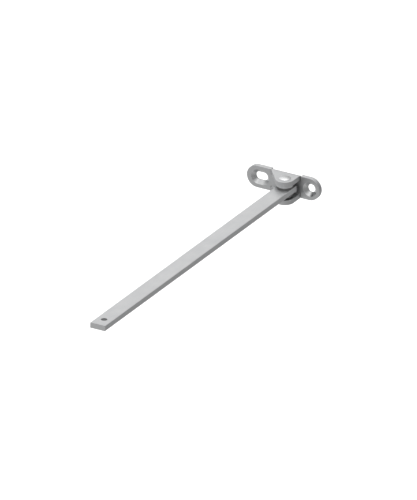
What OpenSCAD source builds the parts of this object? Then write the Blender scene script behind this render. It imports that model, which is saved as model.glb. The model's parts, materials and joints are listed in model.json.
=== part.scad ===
// Friction stay hinge: a flat steel arm that turns, against friction, in a folded sheet bracket.
// Millimetres. The origin lies on the bracket's mounting face, straight behind the pivot axis and at
// mid-height. +X runs along the bracket towards its round screw hole, +Y points out of the mounting
// face into the window frame, and +Z runs up the pivot axis. The arm leaves the bracket along -Y.

/* [Bracket] */
// Thickness of the bracket's sheet
sheet_t = 2.75; // [2.6:0.05:3]
// Radius of the rounded ear ends, which is half the ears' height
ear_r = 6.4; // [6:0.1:6.6]
// From the pivot axis to the centre of the ear end that has the round hole
round_ear_x = 10.9; // [10.8:0.1:14]
// From the pivot axis to the centre of the ear end that has the slot
slot_ear_x = 21.3; // [21.3:0.1:26]
// From the mounting face to the pivot axis
pivot_y = 9.65; // [9.65:0.05:12]
// Clear height between the two lugs
clevis_gap = 8; // [8:0.1:9]
// Radius of the lugs' nose, about the pivot axis
nose_r = 5.25; // [5:0.05:5.5]
// Reach of the lugs from the pivot axis towards the slotted ear
lug_base_x = 12.4; // [11:0.1:12.6]
// Inner radius of the bends
bend_r = 0.5; // [0.3:0.1:0.8]
// Width of the relief slits beside the lugs
relief_w = 0.4; // [0.3:0.05:0.8]
// Radius of the rounding along the sheet's cut edges
edge_r = 0.15; // [0.1:0.05:0.5]

/* [Screw holes] */
// Diameter of the round screw hole, and width of the slot
screw_d = 4.6; // [4:0.1:5.2]
// Diameter of the countersinks at the front face
sink_d = 8.4; // [7.6:0.1:9]
// Distance between the centres of the slot's two round ends
slot_run = 2.8; // [1:0.1:3]
// From the centre of the ear's end to the centre of the slot, towards the pivot
slot_shift = 1.9; // [1.5:0.1:2.2]
// From the centre of the ear's end to the centre of the round hole, away from the pivot
round_shift = 0.4; // [0:0.1:0.8]

/* [Arm] */
// Overall length of the arm
arm_l = 203.5; // [120:0.5:300]
// Width of the arm
arm_w = 9.6; // [9.4:0.1:10]
// Thickness of the arm
arm_t = 3.2; // [2.8:0.1:3.2]
// Radius of the rounded edges along the arm
arm_edge_r = 0.5; // [0.4:0.1:1.3]
// Radius of the corners of the arm's tail and free end, seen from above
arm_corner_r = 0.4; // [0.2:0.1:0.8]
// Length of the arm's tail behind the pivot axis
arm_tail = 4.3; // [3.6:0.1:4.3]
// Diameter of the hole near the arm's free end
end_hole_d = 3.4; // [3:0.1:4.2]
// From the arm's free end to the centre of that hole
end_hole_inset = 7; // [6:0.1:10]
// Chamfer round that hole, on both faces
end_hole_chamfer = 0.1; // [0.1:0.1:0.5]

/* [Pivot] */
// Diameter of the rivet's shank
shank_d = 4; // [3.6:0.1:4]
// Diameter of the tenon that is peened over under the lower lug
tenon_d = 3.2; // [3:0.1:3.4]
// Diameter of the rivet's domed head
head_d = 6.4; // [6:0.1:7]
// Height of the domed head
head_h = 0.9; // [0.7:0.1:1.2]
// Diameter of the peened tail
tail_d = 5.6; // [5:0.1:6]
// Height of the peened tail
tail_h = 0.8; // [0.6:0.1:1]
// Diameter of the bush in the arm
bush_d = 5.6; // [5.4:0.1:6]
// Radial clearance between the shank and the bush
running_gap = 0.03; // [0.02:0.01:0.06]

/* [Friction pack] */
// Diameter of the friction discs and of the spacer washer
disc_d = 8.9; // [8.4:0.1:9.2]
// Thickness of each friction disc
disc_t = 1; // [0.8:0.1:1]
// Diameter of the pressure washer and of the disc springs
spring_d = 8; // [7.6:0.1:8]
// Thickness of the pressure washer
pressure_t = 0.5; // [0.4:0.1:0.6]
// Sheet thickness of a disc spring
spring_t = 0.3; // [0.2:0.05:0.35]

/* [Hidden] */
$fn = 96;

// How far a cutting tool runs past the faces that it cuts
past = 1;
// Radial clearance of the washers, discs and springs on the shank
washer_gap = 0.1;
// Rounding of the washers' and discs' edges
washer_edge_r = 0.2;
// Height of the straight rim under each dome of the rivet
rim_h = 0.2;

// The lugs' inner faces, their outer faces, and the height at which the bends start
lug_in_z = clevis_gap / 2;
lug_out_z = lug_in_z + sheet_t;
bend_z = lug_in_z - bend_r;
bend_out_r = bend_r + sheet_t;
// From the pivot axis back to the line where the lugs leave their bends
lug_run = pivot_y - bend_out_r;

// The lugs' slanted edge runs from this corner, as seen from the pivot axis, to a tangent point on the
// nose. slant_turn is the direction of that tangent point. A small shoulder is left at the corner.
shoulder = 0.1;
slant_corner = [shoulder - lug_base_x, lug_run];
slant_turn = atan2(slant_corner.y, slant_corner.x) + acos(nose_r / norm(slant_corner));
// How far the flat sheet between the lugs' two sides reaches under the slanted one
web_x = 0.6 * lug_base_x;

sink_depth = (sink_d - screw_d) / 2;
slot_x = slot_shift - slot_ear_x;
round_x = round_ear_x + round_shift;

// Heights of the stack, from the arm outwards, upwards and downwards
face_z = arm_t / 2;
disc_out_z = face_z + disc_t;
pressure_out_z = disc_out_z + pressure_t;
// Height of one disc spring under load: two of them fill the space down to the lower lug
spring_h = (lug_in_z - pressure_out_z) / 2;
washer_bore_r = shank_d / 2 + washer_gap;

// Rectangle with round corners, centred
module round_rect(w, h, r) {
    square([w - 2 * r, h], center = true);
    square([w, h - 2 * r], center = true);
    for (x = [-1, 1], y = [-1, 1])
        translate([x * (w / 2 - r), y * (h / 2 - r)])
            circle(r);
}

// Extrudes a section drawn in Y and Z along X, from x0 to x1
module along_x(x0, x1) {
    translate([x0, 0, 0])
        rotate([90, 0, 90])
            linear_extrude(x1 - x0)
                children();
}

// Stands a tool on the bracket's front face at x, with its own +Z pointing to the mounting face
module at_front(x) {
    translate([x, -sheet_t, 0])
        rotate([-90, 0, 0])
            children();
}

// Flat ring with softly rounded edges, from z0 to z1
module washer(outer_r, z0, z1) {
    translate([0, -pivot_y, (z0 + z1) / 2])
        rotate_extrude()
            translate([(outer_r + washer_bore_r) / 2, 0])
                round_rect(outer_r - washer_bore_r, z1 - z0, washer_edge_r);
}

// Half-section of the bracket's sheet, from the middle of a strip out to its rounded edge
module half_section(half_w) {
    intersection() {
        round_rect(2 * half_w, sheet_t, edge_r);
        translate([0, -sheet_t])
            square([2 * half_w, 2 * sheet_t]);
    }
}

// Sector of a round sheet end, in X and Y about the sheet's mid-plane, between two directions
module sheet_sector(r, from, to) {
    rotate([0, 0, from])
        rotate_extrude(angle = to - from)
            half_section(r);
}

// Strip of sheet along -Y from the origin, with its rounded edge on the +X side
module half_strip(half_w, length) {
    rotate([90, 0, 0])
        linear_extrude(length)
            half_section(half_w);
}

// The flat sheet of both ears, in one piece, before the lugs are added
module ear_sheet() {
    translate([0, -sheet_t / 2, 0])
        rotate([90, 0, 0]) {
            translate([round_ear_x, 0, 0])
                sheet_sector(ear_r, -90, 90);
            translate([-slot_ear_x, 0, 0])
                sheet_sector(ear_r, 90, 270);
            translate([-slot_ear_x, 0, 0])
                rotate([90, 0, 90])
                    linear_extrude(round_ear_x + slot_ear_x)
                        round_rect(2 * ear_r, sheet_t, edge_r);
        }
}

// The window cut in the ears' upper and lower edge: room for a lug's fold, and a notch on each side
module fold_window() {
    x0 = -lug_base_x - relief_w;
    x1 = nose_r + relief_w;
    for (m = [0, 1])
        mirror([0, 0, m]) {
            translate([x0, -sheet_t - past, bend_z])
                cube([x1 - x0, sheet_t + 2 * past, ear_r]);
            for (x = [x0 + relief_w / 2, x1 - relief_w / 2])
                translate([x, past, bend_z])
                    rotate([90, 0, 0])
                        cylinder(h = sheet_t + 2 * past, r = relief_w / 2);
        }
}

// The bend between the ears' sheet and the upper lug
module bend() {
    translate([0, -bend_out_r, bend_z])
        rotate([90, 0, 90])
            rotate_extrude(angle = 90)
                translate([bend_r + sheet_t / 2, (nose_r - lug_base_x) / 2])
                    round_rect(sheet_t, nose_r + lug_base_x, edge_r);
}

// The upper lug: a round nose about the pivot axis, a straight side and a slanted side, and the flat
// sheet between the two sides
module lug() {
    translate([0, -pivot_y, lug_in_z + sheet_t / 2]) {
        sheet_sector(nose_r, slant_turn, 360);
        mirror([0, 1, 0])
            half_strip(nose_r, lug_run);
        intersection() {
            rotate([0, 0, slant_turn])
                half_strip(nose_r, norm(slant_corner));
            translate([-2 * lug_base_x, -nose_r, -sheet_t])
                cube([2 * lug_base_x, nose_r + lug_run, 2 * sheet_t]);
        }
        translate([0, 0, -sheet_t / 2])
            linear_extrude(sheet_t)
                polygon([[0, 0], [0, lug_run], [-web_x, lug_run]]);
    }
}

// Countersunk slot, or a countersunk round hole where run is 0
module countersunk_hole(x, run) {
    for (end = [-run / 2, run / 2])
        at_front(x + end) {
            translate([0, 0, -past])
                cylinder(h = sheet_t + 2 * past, d = screw_d);
            cylinder(h = sink_depth, d1 = sink_d, d2 = screw_d);
        }
    if (run > 0)
        along_x(x - run / 2, x + run / 2) {
            translate([-sheet_t / 2, 0])
                square([sheet_t + 2 * past, screw_d], center = true);
            polygon([[-sheet_t, -sink_d / 2], [-sheet_t, sink_d / 2],
                     [sink_depth - sheet_t, screw_d / 2], [sink_depth - sheet_t, -screw_d / 2]]);
        }
}

module bracket() {
    color("silver")
        difference() {
            union() {
                difference() {
                    ear_sheet();
                    fold_window();
                }
                for (m = [0, 1])
                    mirror([0, 0, m]) {
                        bend();
                        lug();
                    }
            }
            countersunk_hole(round_x, 0);
            countersunk_hole(slot_x, slot_run);
            translate([0, -pivot_y, 0])
                cylinder(h = lug_out_z + past, d = shank_d);
            translate([0, -pivot_y, -lug_out_z - past])
                cylinder(h = lug_out_z + past, d = tenon_d);
        }
}

// Low dome of a rivet on a straight rim, standing on z = 0
module rivet_dome(d, h) {
    cap_h = h - rim_h;
    ball_r = (pow(d / 2, 2) + pow(cap_h, 2)) / (2 * cap_h);
    cylinder(h = rim_h, d = d);
    intersection() {
        translate([0, 0, h - ball_r])
            sphere(ball_r);
        translate([0, 0, rim_h])
            cylinder(h = h, d = d + past);
    }
}

module pivot_rivet() {
    color("gainsboro")
        translate([0, -pivot_y, 0]) {
            translate([0, 0, lug_out_z])
                rivet_dome(head_d, head_h);
            translate([0, 0, -lug_in_z])
                cylinder(h = lug_in_z + lug_out_z, d = shank_d);
            translate([0, 0, -lug_out_z])
                cylinder(h = sheet_t, d = tenon_d);
            mirror([0, 0, 1])
                translate([0, 0, lug_out_z])
                    rivet_dome(tail_d, tail_h);
        }
}

module upper_spacer_washer() {
    color("darkgray")
        washer(disc_d / 2, disc_out_z, lug_in_z);
}

module upper_friction_disc() {
    color("dimgray")
        washer(disc_d / 2, face_z, disc_out_z);
}

module arm() {
    color("lightgray")
        difference() {
            intersection() {
                translate([0, arm_tail - pivot_y, 0])
                    rotate([90, 0, 0])
                        linear_extrude(arm_l)
                            round_rect(arm_w, arm_t, arm_edge_r);
                translate([0, arm_tail - pivot_y - arm_l / 2, -arm_t])
                    linear_extrude(2 * arm_t)
                        round_rect(arm_w, arm_l, arm_corner_r);
            }
            translate([0, -pivot_y, -arm_t])
                cylinder(h = 2 * arm_t, d = bush_d);
            translate([0, arm_tail - pivot_y - arm_l + end_hole_inset, 0]) {
                cylinder(h = 2 * arm_t, d = end_hole_d, center = true);
                for (m = [0, 1])
                    mirror([0, 0, m])
                        translate([0, 0, face_z - end_hole_chamfer])
                            cylinder(h = end_hole_chamfer, d1 = end_hole_d,
                                     d2 = end_hole_d + 2 * end_hole_chamfer);
            }
        }
}

module arm_bush() {
    color("peru")
        translate([0, -pivot_y, -face_z])
            difference() {
                cylinder(h = arm_t, d = bush_d);
                translate([0, 0, -past])
                    cylinder(h = arm_t + 2 * past, r = shank_d / 2 + running_gap);
            }
}

module lower_friction_disc() {
    color("dimgray")
        washer(disc_d / 2, -disc_out_z, -face_z);
}

module pressure_washer() {
    color("darkgray")
        washer(spring_d / 2, -pressure_out_z, -disc_out_z);
}

// One disc spring standing on its rim at z = 0, with its bore raised
module disc_spring() {
    rotate_extrude()
        polygon([[washer_bore_r, spring_h - spring_t], [spring_d / 2, 0],
                 [spring_d / 2, spring_t], [washer_bore_r, spring_h]]);
}

module disc_spring_upper() {
    color("slategray")
        translate([0, -pivot_y, spring_h - lug_in_z])
            disc_spring();
}

module disc_spring_lower() {
    color("slategray")
        translate([0, -pivot_y, spring_h - lug_in_z])
            mirror([0, 0, 1])
                disc_spring();
}

bracket();
pivot_rivet();
upper_spacer_washer();
upper_friction_disc();
arm();
arm_bush();
lower_friction_disc();
pressure_washer();
disc_spring_upper();
disc_spring_lower();
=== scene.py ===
"""Friction stay hinge: materials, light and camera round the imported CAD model. Metres throughout."""

import json
import math

import bmesh
import bpy
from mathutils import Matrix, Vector


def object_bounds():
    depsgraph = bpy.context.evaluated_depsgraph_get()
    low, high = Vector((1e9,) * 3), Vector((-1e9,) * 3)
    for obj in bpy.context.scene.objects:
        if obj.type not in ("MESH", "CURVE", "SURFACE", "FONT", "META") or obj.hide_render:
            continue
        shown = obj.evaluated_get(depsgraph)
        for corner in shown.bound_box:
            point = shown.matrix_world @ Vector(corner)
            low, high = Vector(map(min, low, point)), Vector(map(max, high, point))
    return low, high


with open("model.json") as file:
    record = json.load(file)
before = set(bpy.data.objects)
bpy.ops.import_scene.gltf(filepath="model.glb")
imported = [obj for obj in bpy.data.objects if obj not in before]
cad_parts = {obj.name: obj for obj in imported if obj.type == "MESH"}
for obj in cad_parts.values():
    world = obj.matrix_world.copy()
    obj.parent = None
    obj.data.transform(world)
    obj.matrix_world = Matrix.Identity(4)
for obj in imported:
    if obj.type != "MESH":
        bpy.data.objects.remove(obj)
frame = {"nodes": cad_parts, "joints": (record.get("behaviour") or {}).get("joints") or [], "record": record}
cad_low, cad_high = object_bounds()
nodes = frame["nodes"]

MM = 0.001
PIVOT = Vector(frame["joints"][0]["pos_m"])
# Radius of the countersinks at the bracket's front face
SINK_R = 4.2 * MM

# The view: an orthographic camera, its azimuth and elevation in degrees, and the height that it sees
VIEW_AZIMUTH = 30.2
VIEW_ELEVATION = 25.2
VIEW_HEIGHT = 267.4 * MM
# How far the pivot axis stands from the picture's centre, to the right and up
PIVOT_RIGHT = 40.9 * MM
PIVOT_UP = 32.2 * MM
CAMERA_AWAY = 1.0

# Bare steel: how far in from an edge handling has polished it, and how much brighter it is left
WORN_EDGE = 0.2 * MM
WEAR = 0.06
# How near the walls of a recess have to stand for painted shade to darken them, the shade's grey, and how
# much of the steel's colour it hides in the deepest recesses
RECESS_REACH = 4 * MM
RECESS_SHADE_LEVEL = 0.12
RECESS_SHADE_SHARE = 0.5
# About how wide the shallow dents and the stains are
DENT_SIZE = 0.9 * MM
STAIN_SIZE = 7 * MM
# The roughness that a cutter leaves in a countersink
CUT_ROUGHNESS = 0.26
# The Y at which a countersink's cut zone begins, just clear of the mounting face, and is complete
CUT_STARTS = -0.1 * MM
CUT_FULL = -0.2 * MM

# The floor lies this far under the object, because the stay is screwed to a frame and doesn't rest on
# it, and so that views from below look past it. STAGE_REACH is half the floor's side and the dome's
# radius. The level and the glows keep both of them pale.
FLOOR_DROP = 1.5
STAGE_REACH = 6.0
FLOOR_GLOW = 0.6
DOME_GLOW = 0.9
STAGE_LEVEL = 0.95
STAGE_ROUGHNESS = 0.9

# The studio: an even glow, and soft lamps at infinity, each with its azimuth, elevation, tightness and level
GLOW = 0.07
LAMPS = {
    "overhead": (0, 90, 5.5, 1.85),
    "behind_left": (240, 25, 5.5, 0.62),
    "from_below": (295, -65, 0.8, 0.52)}


def towards(azimuth, elevation):
    """The direction at an azimuth, turning from -Y to +X, and an elevation, in degrees."""
    turn, rise = math.radians(azimuth), math.radians(elevation)
    return Vector((math.sin(turn) * math.cos(rise), -math.cos(turn) * math.cos(rise), math.sin(rise)))


def make_camera():
    back = towards(VIEW_AZIMUTH, VIEW_ELEVATION)
    right = towards(VIEW_AZIMUTH + 90, 0)
    up = back.cross(right)
    data = bpy.data.cameras.new("camera")
    data.type = "ORTHO"
    data.ortho_scale = VIEW_HEIGHT
    data.clip_start, data.clip_end = 0.01, 2 * STAGE_REACH
    camera = bpy.data.objects.new("camera", data)
    bpy.context.collection.objects.link(camera)
    camera.location = PIVOT - right * PIVOT_RIGHT - up * PIVOT_UP + back * CAMERA_AWAY
    camera.rotation_mode = "QUATERNION"
    camera.rotation_quaternion = (-back).to_track_quat("-Z", "Y")
    bpy.context.scene.camera = camera


class Tree:
    """A node tree, with short calls for the nodes that the finishes share."""

    def __init__(self, owner):
        owner.use_nodes = True
        self.tree = owner.node_tree
        self.tree.nodes.clear()

    def add(self, kind, sockets=None, **settings):
        """Adds a node. sockets gives its inputs by name or index: a value, or another node's output."""
        node = self.tree.nodes.new(kind)
        for key, value in settings.items():
            setattr(node, key, value)
        for key, value in (sockets or {}).items():
            if isinstance(value, bpy.types.NodeSocket):
                self.tree.links.new(value, node.inputs[key])
            else:
                node.inputs[key].default_value = value
        return node

    def math(self, operation, a, b=0.0):
        return self.add("ShaderNodeMath", {0: a, 1: b}, operation=operation).outputs[0]

    def remap(self, value, low, high, to_low=0.0, to_high=1.0):
        sockets = {"Value": value, "From Min": low, "From Max": high, "To Min": to_low, "To Max": to_high}
        return self.add("ShaderNodeMapRange", sockets).outputs["Result"]

    def place(self, stretch=(1.0, 1.0, 1.0)):
        """The point on the piece in its own coordinates, which move with it, stretched along each axis."""
        point = self.add("ShaderNodeTexCoord").outputs["Object"]
        return self.add("ShaderNodeVectorMath", {0: point, 1: stretch}, operation="MULTIPLY").outputs[0]

    def noise(self, vector, size, detail=3.0, roughness=0.55):
        """Noise from 0 to 1 whose patches are about size metres across."""
        sockets = {"Vector": vector, "Scale": 1.0 / size, "Detail": detail, "Roughness": roughness}
        return self.add("ShaderNodeTexNoise", sockets).outputs["Fac"]

    def mix(self, share, first, second):
        node = self.add("ShaderNodeMix", {"Factor": share}, data_type="RGBA")
        for name, value in (("A", first), ("B", second)):
            socket = next(s for s in node.inputs if s.name == name and s.type == "RGBA")
            if isinstance(value, bpy.types.NodeSocket):
                self.tree.links.new(value, socket)
            else:
                socket.default_value = value
        return next(s for s in node.outputs if s.type == "RGBA")

    def bump(self, height, depth, normal=None):
        sockets = {"Height": height, "Distance": depth, "Strength": 1.0}
        if normal is not None:
            sockets["Normal"] = normal
        return self.add("ShaderNodeBump", sockets).outputs["Normal"]

    def recess(self, reach, low=0.15, high=0.65):
        """1 where neighbouring surfaces close in within reach, as in a hole or a gap, 0 out in the open."""
        open_share = self.add("ShaderNodeAmbientOcclusion", {"Distance": reach}, samples=8).outputs["AO"]
        return self.remap(open_share, high, low)

    def near_slot(self, centre, half_run, reach):
        """1 in a slot-shaped zone that runs along X about centre, seen along Y, and 0 outside it and on
        the mounting face."""
        point = self.add("ShaderNodeTexCoord").outputs["Object"]
        split = self.add("ShaderNodeSeparateXYZ", {0: point}).outputs
        away = self.math("ABSOLUTE", self.math("SUBTRACT", split["X"], centre.x))
        past_end = self.math("MAXIMUM", self.math("SUBTRACT", away, half_run), 0.0)
        up = self.math("SUBTRACT", split["Z"], centre.z)
        squares = self.math("ADD", self.math("POWER", past_end, 2.0), self.math("MULTIPLY", up, up))
        inside = self.remap(self.math("SQRT", squares), reach, 0.97 * reach)
        return self.math("MULTIPLY", inside, self.remap(split["Y"], CUT_STARTS, CUT_FULL))

    def edge(self, radius, low=0.02, high=0.25):
        """1 within about radius of a sharp edge or a tight round, 0 on the flat."""
        soft = self.add("ShaderNodeBevel", {"Radius": radius}, samples=6).outputs["Normal"]
        true = self.add("ShaderNodeNewGeometry").outputs["Normal"]
        turned = self.add("ShaderNodeVectorMath", {0: soft, 1: true}, operation="DOT_PRODUCT")
        return self.remap(self.math("SUBTRACT", 1.0, turned.outputs["Value"]), low, high)


def grey(level, warmth=0.0):
    """A near-neutral linear colour. warmth is what red gains and blue loses."""
    return (level * (1 + warmth), level, level * (1 - warmth), 1.0)


def finish_steel(name, level, roughness, stretch, grain_size, grain_depth, dent_depth, cut_holes=()):
    """Bare satin steel: a grain that stretch draws out along one axis, shallow dents, stains, edges that
    handling has polished a little, and painted shade that darkens the recesses. cut_holes lists the
    countersunk holes, each with its centre, half its run and its countersink's radius: a cutter leaves
    the steel smoother there."""
    material = bpy.data.materials.new(name)
    tree = Tree(material)
    grain = tree.noise(tree.place(stretch), grain_size, detail=4.0, roughness=0.6)
    dents = tree.noise(tree.place(), DENT_SIZE, detail=2.0)
    stain = tree.noise(tree.place(), STAIN_SIZE, detail=4.0, roughness=0.65)
    edge = tree.edge(WORN_EDGE)
    # Painted shade: an ambient-occlusion mask that is 1 in holes, slots and the gaps between parts
    recess_shade = tree.math("MULTIPLY", tree.recess(RECESS_REACH), RECESS_SHADE_SHARE)
    body = tree.mix(tree.remap(stain, 0.30, 0.70), grey(level * 0.955, -0.012), grey(level * 1.02, -0.004))
    body = tree.mix(tree.remap(grain, 0.35, 0.75, 0.0, 0.12), body, grey(level * 0.70, -0.01))
    colour = tree.mix(tree.math("MULTIPLY", edge, 0.5), body, grey(level * (1 + WEAR), -0.004))
    # Paints the shade into the recesses by mixing the steel's colour towards a dark grey
    colour = tree.mix(recess_shade, colour, grey(RECESS_SHADE_LEVEL, 0.02))
    rough = tree.remap(grain, 0.3, 0.7, roughness - 0.04, roughness + 0.05)
    rough = tree.math("ADD", rough, tree.remap(stain, 0.3, 0.7, -0.03, 0.03))
    rough = tree.math("SUBTRACT", rough, tree.math("MULTIPLY", edge, 0.06))
    for centre, half_run, reach in cut_holes:
        rough = tree.remap(tree.near_slot(centre, half_run, reach), 0.0, 1.0, rough, CUT_ROUGHNESS)
    normal = tree.bump(dents, dent_depth)
    normal = tree.bump(grain, grain_depth, normal)
    shader = tree.add("ShaderNodeBsdfPrincipled", {
        "Base Color": colour, "Metallic": 1.0, "Roughness": rough, "Normal": normal})
    tree.add("ShaderNodeOutputMaterial", {"Surface": shader.outputs[0]})
    return material


def finish_polymer(name, level):
    """Matt filled plastic with dark and pale specks."""
    material = bpy.data.materials.new(name)
    tree = Tree(material)
    specks = tree.noise(tree.place(), 0.25 * MM, detail=2.0)
    cloud = tree.noise(tree.place(), 2.5 * MM, detail=3.0)
    body = tree.mix(tree.remap(cloud, 0.3, 0.7), grey(level * 0.9), grey(level * 1.1))
    colour = tree.mix(tree.remap(specks, 0.62, 0.70, 0.0, 0.5), body, grey(level * 1.8))
    shader = tree.add("ShaderNodeBsdfPrincipled", {
        "Base Color": colour, "Roughness": tree.remap(specks, 0.3, 0.7, 0.50, 0.66),
        "Normal": tree.bump(specks, 0.004 * MM)})
    tree.add("ShaderNodeOutputMaterial", {"Surface": shader.outputs[0]})
    return material


def finish_bronze(name):
    """Sintered bronze: open-pored and matt."""
    material = bpy.data.materials.new(name)
    tree = Tree(material)
    pores = tree.noise(tree.place(), 0.18 * MM, detail=3.0)
    colour = tree.mix(tree.remap(pores, 0.42, 0.60), (0.10, 0.06, 0.03, 1.0), (0.50, 0.30, 0.13, 1.0))
    shader = tree.add("ShaderNodeBsdfPrincipled", {
        "Base Color": colour, "Metallic": 1.0, "Roughness": tree.remap(pores, 0.4, 0.6, 0.62, 0.42),
        "Normal": tree.bump(pores, 0.01 * MM)})
    tree.add("ShaderNodeOutputMaterial", {"Surface": shader.outputs[0]})
    return material


def countersinks():
    """The bracket's two countersunk holes, from the record's mounts, as finish_steel takes them."""
    mounts = {mount["name"]: mount for mount in frame["record"]["mounts"]}
    round_hole, slot = mounts["screw_hole_round"], mounts["screw_slot"]
    half_run = slot["dims"]["slot_length_mm"] / 2 - slot["dims"]["hole_r_mm"]
    return [(Vector(round_hole["pos_m"]), 0.0, SINK_R), (Vector(slot["pos_m"]), half_run * MM, SINK_R)]


def dress():
    """Gives every CAD node its finish. The stretches draw the grain out along the way that each piece
    was rolled, drawn or turned."""
    along_x = (0.15, 1.0, 1.0)
    along_y = (1.0, 0.03, 1.0)
    none = (1.0, 1.0, 1.0)
    flat = (0.3, 0.3, 1.0)
    sheet = finish_steel(
        "sheet_steel", level=0.76, roughness=0.45, stretch=along_x,
        grain_size=0.30 * MM, grain_depth=0.003 * MM, dent_depth=0.006 * MM, cut_holes=countersinks())
    bar = finish_steel(
        "drawn_bar", level=0.80, roughness=0.45, stretch=along_y,
        grain_size=0.35 * MM, grain_depth=0.004 * MM, dent_depth=0.003 * MM)
    rivet = finish_steel(
        "rivet_steel", level=0.86, roughness=0.24, stretch=none,
        grain_size=0.30 * MM, grain_depth=0.001 * MM, dent_depth=0.006 * MM)
    washer = finish_steel(
        "turned_steel", level=0.88, roughness=0.45, stretch=flat,
        grain_size=0.15 * MM, grain_depth=0.004 * MM, dent_depth=0.002 * MM)
    # The springs' dark grey is partly a dark spring-steel finish and partly painted shade for the dark
    # hollows round the pivot where they sit
    spring = finish_steel(
        "dark_spring_steel_and_painted_shade", level=0.14, roughness=0.34, stretch=none,
        grain_size=0.25 * MM, grain_depth=0.002 * MM, dent_depth=0.002 * MM)
    polymer = finish_polymer("friction_polymer", 0.22)
    bronze = finish_bronze("sintered_bronze")
    finishes = {
        "bracket": sheet, "arm": bar, "pivot_rivet": rivet, "arm_bush": bronze,
        "upper_spacer_washer": washer, "pressure_washer": washer,
        "upper_friction_disc": polymer, "lower_friction_disc": polymer,
        "disc_spring_upper": spring, "disc_spring_lower": spring}
    for name, node in nodes.items():
        node.data.materials.clear()
        node.data.materials.append(finishes[name])


def add_stage(name, build, glow):
    """A plain pale stage piece, with its mesh from build(bmesh). Only the camera sees it, so the studio's
    own light reaches the object from every side."""
    shape = bmesh.new()
    build(shape)
    mesh = bpy.data.meshes.new(name)
    shape.to_mesh(mesh)
    shape.free()
    piece = bpy.data.objects.new(name, mesh)
    bpy.context.collection.objects.link(piece)
    piece.location.z = cad_low.z - FLOOR_DROP
    piece.visible_diffuse = False
    piece.visible_glossy = False
    piece.visible_shadow = False
    material = bpy.data.materials.new(name)
    tree = Tree(material)
    shader = tree.add("ShaderNodeBsdfPrincipled", {
        "Base Color": grey(STAGE_LEVEL), "Roughness": STAGE_ROUGHNESS,
        "Emission Color": grey(1.0), "Emission Strength": glow})
    tree.add("ShaderNodeOutputMaterial", {"Surface": shader.outputs[0]})
    mesh.materials.append(material)


def make_stage():
    """A pale floor, and a pale dome that closes the view above and below it."""
    add_stage("floor", lambda shape: bmesh.ops.create_grid(shape, size=STAGE_REACH), FLOOR_GLOW)
    add_stage("dome", lambda shape: bmesh.ops.create_icosphere(
        shape, subdivisions=4, radius=STAGE_REACH), DOME_GLOW)


def make_light():
    """A soft studio on the world's background: each lamp fades out smoothly around its own direction."""
    world = bpy.data.worlds.new("studio")
    bpy.context.scene.world = world
    tree = Tree(world)
    direction = tree.add("ShaderNodeTexCoord").outputs["Generated"]
    light = GLOW
    for azimuth, elevation, tightness, level in LAMPS.values():
        centre = towards(azimuth, elevation)
        facing = tree.add("ShaderNodeVectorMath", {0: direction, 1: centre}, operation="DOT_PRODUCT")
        fall = tree.math("MULTIPLY", tree.math("SUBTRACT", facing.outputs["Value"], 1.0), tightness)
        light = tree.math("ADD", light, tree.math("MULTIPLY", tree.math("EXPONENT", fall), level))
    background = tree.add("ShaderNodeBackground", {"Strength": light})
    background.inputs["Color"].default_value = grey(1.0)
    tree.add("ShaderNodeOutputWorld", {"Surface": background.outputs[0]})
    bpy.context.scene.view_settings.view_transform = "Standard"


make_camera()
make_stage()
make_light()
dress()
